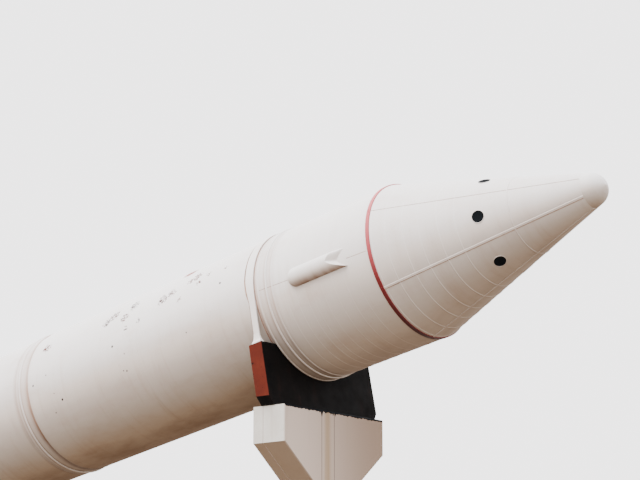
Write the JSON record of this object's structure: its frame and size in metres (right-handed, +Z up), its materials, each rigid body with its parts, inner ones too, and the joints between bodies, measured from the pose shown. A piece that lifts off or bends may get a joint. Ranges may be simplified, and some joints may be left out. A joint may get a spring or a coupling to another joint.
{
  "type": "solid-propellant booster rocket on display piers, 1:2 scale model",
  "caption": "Long white booster rocket with a round-nosed cone, red separation ring, flared aft skirt and steerable nozzle, lying nose-up on concrete piers.",
  "frame": {"origin": "centre of the front pier's underside, on the floor", "axes": "+X towards the nose along the floor, +Y inboard towards the neighbouring tank, +Z up; the booster's axis rises 11.17 degrees towards the nose"},
  "size_m": [22.4892, 2.6565, 6.378],
  "materials": {
    "white_paint": "satin, weathered and grimy underneath",
    "red_paint": "satin, faded on top",
    "black_plug": "matt",
    "bare_steel": "dull, oil-stained",
    "dark_insulation": "matt, charred",
    "bearing_rubber": "matt",
    "rusted_steel": "matt red oxide, chipped",
    "concrete": "matt, painted off-white, stained"
  },
  "bodies": {
    "root": {"nose_tip": "white_paint", "nose_cap": "white_paint", "nose_frustum": "white_paint", "separation_motor_port_1": "black_plug", "separation_motor_port_2": "black_plug", "separation_motor_port_3": "black_plug", "separation_motor_port_4": "black_plug", "separation_motor_port_5": "black_plug", "separation_motor_port_6": "black_plug", "separation_ring": "red_paint", "forward_skirt": "white_paint", "skirt_blister": "white_paint", "thrust_post": "white_paint", "skirt_joint_ring": "white_paint", "case_segment_1": "white_paint", "case_segment_2": "white_paint", "case_segment_3": "white_paint", "case_segment_4": "white_paint", "field_joint_1": "white_paint", "field_joint_2": "white_paint", "field_joint_3": "white_paint", "attach_ring": "white_paint", "attach_strut_upper": "white_paint", "attach_strut_diagonal": "white_paint", "attach_strut_lower": "white_paint", "stiffener_ring_1": "white_paint", "stiffener_ring_2": "white_paint", "stiffener_ring_3": "white_paint", "systems_tunnel_1": "white_paint", "systems_tunnel_2": "white_paint", "systems_tunnel_3": "white_paint", "systems_tunnel_4": "white_paint", "aft_skirt": "white_paint", "hold_down_post_1": "white_paint", "hold_down_post_2": "white_paint", "hold_down_post_3": "white_paint", "hold_down_post_4": "white_paint", "aft_separation_motor_1": "white_paint", "aft_separation_motor_2": "white_paint", "aft_separation_motor_3": "white_paint", "aft_separation_motor_4": "white_paint", "hydraulic_power_unit_1": "bare_steel", "hydraulic_power_unit_2": "bare_steel", "aft_dome": "dark_insulation", "nozzle_housing": "bare_steel", "front_saddle": "rusted_steel", "front_strap": "white_paint", "front_pier": "concrete", "rear_saddle": "rusted_steel", "rear_strap": "white_paint", "rear_pier": "concrete"},
    "bearing": {"flexible_bearing": "bearing_rubber"},
    "nozzle": {"nozzle_bell": "dark_insulation", "steering_ring": "bare_steel"},
    "rock_cylinder": {"rock_actuator_cylinder": "bare_steel"},
    "rock_rod": {"rock_actuator_rod": "bare_steel"},
    "tilt_cylinder": {"tilt_actuator_cylinder": "bare_steel"},
    "tilt_rod": {"tilt_actuator_rod": "bare_steel"}
  },
  "joints": [
    {"name": "nozzle_rock", "type": "hinge", "parent": "root", "child": "bearing", "pos_m": [-17.2783, 0, 1.75978], "axis": [0.137, 0.7071, -0.6937], "range_deg": [-5, 5]},
    {"name": "nozzle_tilt", "type": "hinge", "parent": "bearing", "child": "nozzle", "pos_m": [-17.2783, 0, 1.75978], "axis": [-0.137, 0.7071, 0.6937], "range_deg": [-5, 5]},
    {"name": "rock_cylinder_swing", "type": "hinge", "parent": "root", "child": "rock_cylinder", "pos_m": [-16.58312, -0.56568, 1.32044], "axis": [0.137, 0.7071, -0.6937], "range_deg": [-1.5, 1.5]},
    {"name": "rock_rod_slide", "type": "slide", "parent": "rock_cylinder", "child": "rock_rod", "axis": [-0.9883, 0.1449, -0.0474], "range_m": [-0.06, 0.06]},
    {"name": "tilt_cylinder_swing", "type": "hinge", "parent": "root", "child": "tilt_cylinder", "pos_m": [-16.58312, 0.56568, 1.32044], "axis": [-0.137, 0.7071, 0.6937], "range_deg": [-1.5, 1.5]},
    {"name": "tilt_rod_slide", "type": "slide", "parent": "tilt_cylinder", "child": "tilt_rod", "axis": [-0.9883, -0.1449, -0.0474], "range_m": [-0.06, 0.06]}
  ],
  "couplings": [
    {"joint": "rock_cylinder_swing", "follows": "nozzle_rock", "ratio": -0.22687},
    {"joint": "rock_rod_slide", "follows": "nozzle_rock", "m_per_rad": 0.66067},
    {"joint": "tilt_cylinder_swing", "follows": "nozzle_tilt", "ratio": -0.22687},
    {"joint": "tilt_rod_slide", "follows": "nozzle_tilt", "m_per_rad": 0.66067}
  ]
}
